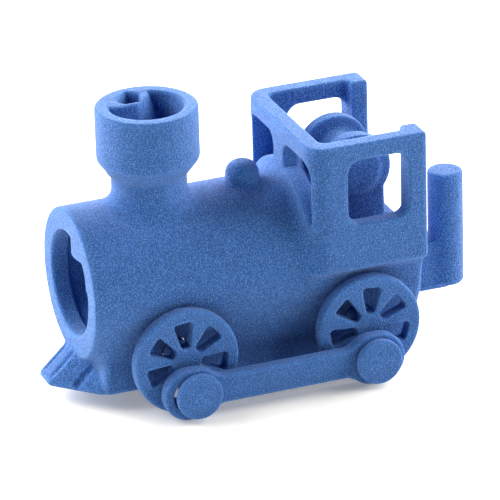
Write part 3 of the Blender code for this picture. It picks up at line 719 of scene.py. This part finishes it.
def add_pieces():
    body_nylon = nylon("blue_body_nylon", (0.013, 0.09, 0.345, 1), (0.017, 0.11, 0.415, 1),
                       (0.07, 0.265, 0.74, 1))
    # painted shade: a darker copy of the same blue nylon for the spool and pedestal, which sit in
    # shade inside the cab
    cab_nylon_painted_shade = nylon("blue_nylon_painted_shade", (0.011, 0.078, 0.31, 1), (0.015, 0.098, 0.38, 1),
                        (0.065, 0.245, 0.7, 1))
    # painted light: a lighter copy of the same blue nylon for the wheels, pins, axles and rods
    gear_nylon_painted_light = nylon("blue_gear_nylon_painted_light", (0.016, 0.102, 0.38, 1), (0.021, 0.124, 0.45, 1),
                       (0.07, 0.265, 0.74, 1))
    for name, (mesh, nodes) in divide_body(sculpt_body()).items():
        add_piece(name, mesh, body_nylon, "root", nodes)
    add_piece("spool", sculpt_spool(), cab_nylon_painted_shade, "root", ["cab_spool"])
    add_piece("pedestal", sculpt_pedestal(), cab_nylon_painted_shade, "root", ["cab_pedestal"])
    for end in ("front", "rear"):
        body = end + "_wheelset"
        add_piece(end + "_axle_bar", sculpt_axle(end), gear_nylon_painted_light, body,
                  [end + "_axle"])
        for side in ("left", "right"):
            prefix = end + "_" + side
            add_piece(prefix + "_disc_wheel", sculpt_wheel(end, side), gear_nylon_painted_light, body,
                      [prefix + "_wheel"])
            add_piece(prefix + "_headed_pin", sculpt_crank_pin(end, side), gear_nylon_painted_light, body,
                      [prefix + "_crank_pin"])
    for side in ("left", "right"):
        add_piece(side + "_slotted_rod", sculpt_rod(side), gear_nylon_painted_light, side + "_rod",
                  [side + "_coupling_rod"])


# ---- floor, lights and camera --------------------------------------------------------------

CAMERA_AZIMUTH = math.radians(69.04)
CAMERA_ELEVATION = math.radians(24.12)
CAMERA_ROLL = math.radians(-1.64)
CAMERA_DISTANCE = 0.6793
CAMERA_LENS = 340.6
CAMERA_AIM = Vector((-0.00117, 0.0002, 0.01635))

# Each soft box: its name, azimuth and elevation in degrees, and watts
SOFTBOXES = (("far_softbox", -110.0, 15.0, 8.5), ("far_front_softbox", -62.0, 15.0, 11.0),
             ("far_rear_softbox", 202.0, 18.0, 9.5), ("high_front_softbox", -25.0, 40.0, 8.0),
             ("high_rear_softbox", 160.0, 32.0, 6.0))
SOFTBOX_DISTANCE = 0.8
SOFTBOX_SIZE = 0.6
FLOOR_HALF_SIZE = 4.0
FLOOR_COLOUR = (0.93, 0.9, 0.84, 1.0)
FLOOR_GLOW = 0.22             # helps the floor reach plain white
FLOOR_GLOW_COLOUR = (1.0, 0.97, 0.9, 1.0)
ROOM_GLOW = 0.01


def towards(azimuth, elevation):
    """The direction from the engine to a place seen at these angles; 0 is in front."""
    return Vector((math.sin(azimuth) * math.cos(elevation),
                   -math.cos(azimuth) * math.cos(elevation), math.sin(elevation)))


def add_camera():
    data = bpy.data.cameras.new("camera")
    data.lens = CAMERA_LENS
    data.clip_start = 0.01
    data.clip_end = 20.0
    camera = bpy.data.objects.new("camera", data)
    back = towards(CAMERA_AZIMUTH, CAMERA_ELEVATION)
    turn = (back.to_track_quat("Z", "Y").to_matrix().to_4x4()
            @ Matrix.Rotation(CAMERA_ROLL, 4, "Z"))
    camera.matrix_world = Matrix.Translation(CAMERA_AIM + back * CAMERA_DISTANCE) @ turn
    bpy.context.scene.collection.objects.link(camera)
    bpy.context.scene.camera = camera


def add_light(name, azimuth, elevation, watts):
    """A square soft box aimed at the engine."""
    data = bpy.data.lights.new(name, "AREA")
    data.shape = "SQUARE"
    data.size = SOFTBOX_SIZE
    data.energy = watts
    light = bpy.data.objects.new(name, data)
    direction = towards(math.radians(azimuth), math.radians(elevation))
    turn = direction.to_track_quat("Z", "Y").to_matrix().to_4x4()
    light.matrix_world = Matrix.Translation(CAMERA_AIM + direction * SOFTBOX_DISTANCE) @ turn
    bpy.context.scene.collection.objects.link(light)


def add_floor():
    mesh = bpy.data.meshes.new("floor")
    shape = bmesh.new()
    bmesh.ops.create_grid(shape, x_segments=1, y_segments=1, size=FLOOR_HALF_SIZE)
    shape.to_mesh(mesh)
    shape.free()
    floor = bpy.data.objects.new("floor", mesh)
    bpy.context.scene.collection.objects.link(floor)
    material = bpy.data.materials.new("white_floor")
    material.use_nodes = True
    shader = material.node_tree.nodes["Principled BSDF"]
    shader.inputs["Base Color"].default_value = FLOOR_COLOUR
    shader.inputs["Roughness"].default_value = 0.9
    shader.inputs["Specular IOR Level"].default_value = 0.1
    shader.inputs["Emission Color"].default_value = FLOOR_GLOW_COLOUR
    shader.inputs["Emission Strength"].default_value = FLOOR_GLOW
    mesh.materials.append(material)


def add_world():
    world = bpy.data.worlds.new("white_room")
    world.use_nodes = True
    background = world.node_tree.nodes["Background"]
    background.inputs["Color"].default_value = (1.0, 1.0, 1.0, 1.0)
    background.inputs["Strength"].default_value = ROOM_GLOW
    bpy.context.scene.world = world
    bpy.context.scene.view_settings.view_transform = "Standard"


add_camera()
add_world()
add_floor()
for softbox in SOFTBOXES:
    add_light(*softbox)
add_pieces()
